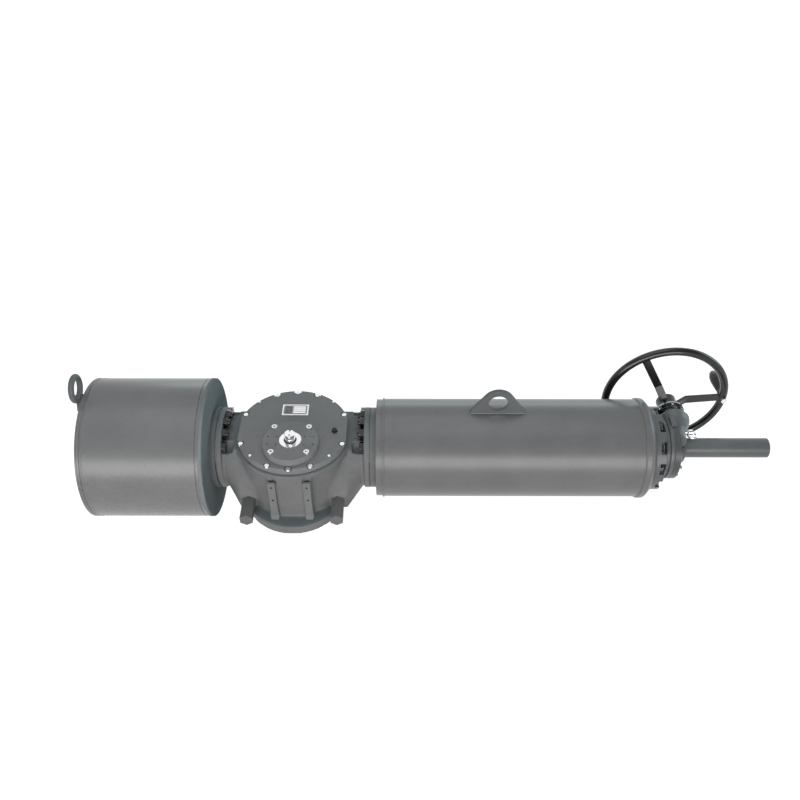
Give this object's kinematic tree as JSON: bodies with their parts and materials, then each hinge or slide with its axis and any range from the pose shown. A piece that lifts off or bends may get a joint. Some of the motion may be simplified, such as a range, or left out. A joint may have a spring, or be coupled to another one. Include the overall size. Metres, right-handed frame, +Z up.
{
  "type": "pneumatic valve actuator",
  "caption": "Spring-return pneumatic actuator for a quarter-turn valve: round yoke housing between a wide spring canister and a long air cylinder with a handwheel gearbox.",
  "frame": {"origin": "centre of the valve flange's bottom face", "axes": "+Z up along the output shaft, +X along the cylinder towards the handwheel, +Y from the output shaft towards the cylinder's axis"},
  "size_m": [2.0495, 0.5363, 0.4871],
  "materials": {
    "grey_paint": "satin enamel",
    "black_paint": "semi-gloss enamel",
    "black_bolts": "black oxide",
    "zinc_bolts": "bright zinc",
    "bright_steel": "polished",
    "steel": "machined",
    "ground_steel": "ground",
    "cast_steel": "machined casting",
    "cast_iron": "as cast, machined faces",
    "bronze": "machined bearing bronze",
    "spring_steel": "shot-peened, oiled",
    "rubber_seals": "matte",
    "nameplate": "brushed, blank",
    "black_plastic": "moulded"
  },
  "bodies": {
    "frame": {"housing": "grey_paint", "cover": "grey_paint", "cover_bolts": "zinc_bolts", "cover_dowels": "zinc_bolts", "accessory_pad": "grey_paint", "pad_screws": "black_bolts", "seal_retainer": "bright_steel", "shaft_seal": "rubber_seals", "nameplate": "nameplate", "vent_plug": "black_plastic", "lower_bush": "bronze", "upper_bush": "bronze", "stop_bolts": "steel", "stop_caps": "grey_paint", "accessory_rails": "grey_paint", "guide_bar": "ground_steel", "neck_bolts": "black_bolts", "hub_flange": "grey_paint", "rod_bushes": "bronze", "canister_tube": "grey_paint", "canister_front_plate": "grey_paint", "canister_end_cap": "grey_paint", "lifting_eye": "grey_paint", "eye_bolt": "black_bolts", "power_spring": "spring_steel", "rod_adapter": "grey_paint", "cylinder_head": "grey_paint", "cylinder_tube": "grey_paint", "bulkhead": "cast_steel", "end_head": "grey_paint", "lifting_lug": "grey_paint", "gearbox_adapter": "grey_paint", "adapter_bolts": "black_bolts", "gearbox_body": "grey_paint", "gearbox_cover": "grey_paint", "gearbox_bolts": "zinc_bolts", "cover_pipe": "grey_paint", "input_ring": "bright_steel", "gearbox_screws": "zinc_bolts", "gearbox_bearings": "ground_steel"},
    "train": {"guide_block": "cast_steel", "yoke_pin": "ground_steel", "yoke_rollers": "ground_steel", "spring_rod": "ground_steel", "spring_pusher": "cast_steel", "piston_rod": "ground_steel", "piston": "cast_steel", "piston_seals": "rubber_seals", "override_spindle": "ground_steel"},
    "yoke": {"yoke": "cast_iron", "position_shaft": "bright_steel"},
    "handwheel": {"handwheel": "black_paint", "worm_shaft": "steel", "wheel_nut": "black_bolts", "grip_spindle": "zinc_bolts"},
    "grip": {"spinner_grip": "black_plastic"},
    "worm_wheel": {"worm_wheel": "bronze", "nut_half_upper": "bronze", "nut_half_lower": "bronze"},
    "lever": {"declutch_lever": "bright_steel"}
  },
  "joints": [
    {"name": "stroke", "type": "slide", "parent": "frame", "child": "train", "axis": [1, 0, 0], "range_m": [-0.2, 0], "stiffness_N_per_m": 10000, "springref_m": 0.05, "deforming": ["power_spring"]},
    {"name": "yoke_turn", "type": "hinge", "parent": "frame", "child": "yoke", "pos_m": [0, 0, 0.11], "axis": [0, 0, 1], "range_deg": [-0.05, 90.05]},
    {"name": "handwheel_turn", "type": "hinge", "parent": "frame", "child": "handwheel", "pos_m": [1.141, 0.23, 0.165], "axis": [0, 1, 0], "continuous": true},
    {"name": "worm_wheel_turn", "type": "hinge", "parent": "frame", "child": "worm_wheel", "pos_m": [1.141, 0.1, 0.11], "axis": [1, 0, 0], "continuous": true},
    {"name": "grip_spin", "type": "hinge", "parent": "handwheel", "child": "grip", "pos_m": [1.324, 0.33, 0.165], "axis": [0, 1, 0], "continuous": true},
    {"name": "declutch", "type": "hinge", "parent": "frame", "child": "lever", "pos_m": [1.19, 0.124, 0.152], "axis": [-1, 0, 0], "range_deg": [0, 45]}
  ],
  "couplings": [
    {"joint": "yoke_turn", "follows": "stroke", "rad_per_m": -7.854},
    {"joint": "worm_wheel_turn", "follows": "handwheel_turn", "ratio": 0.03125}
  ]
}
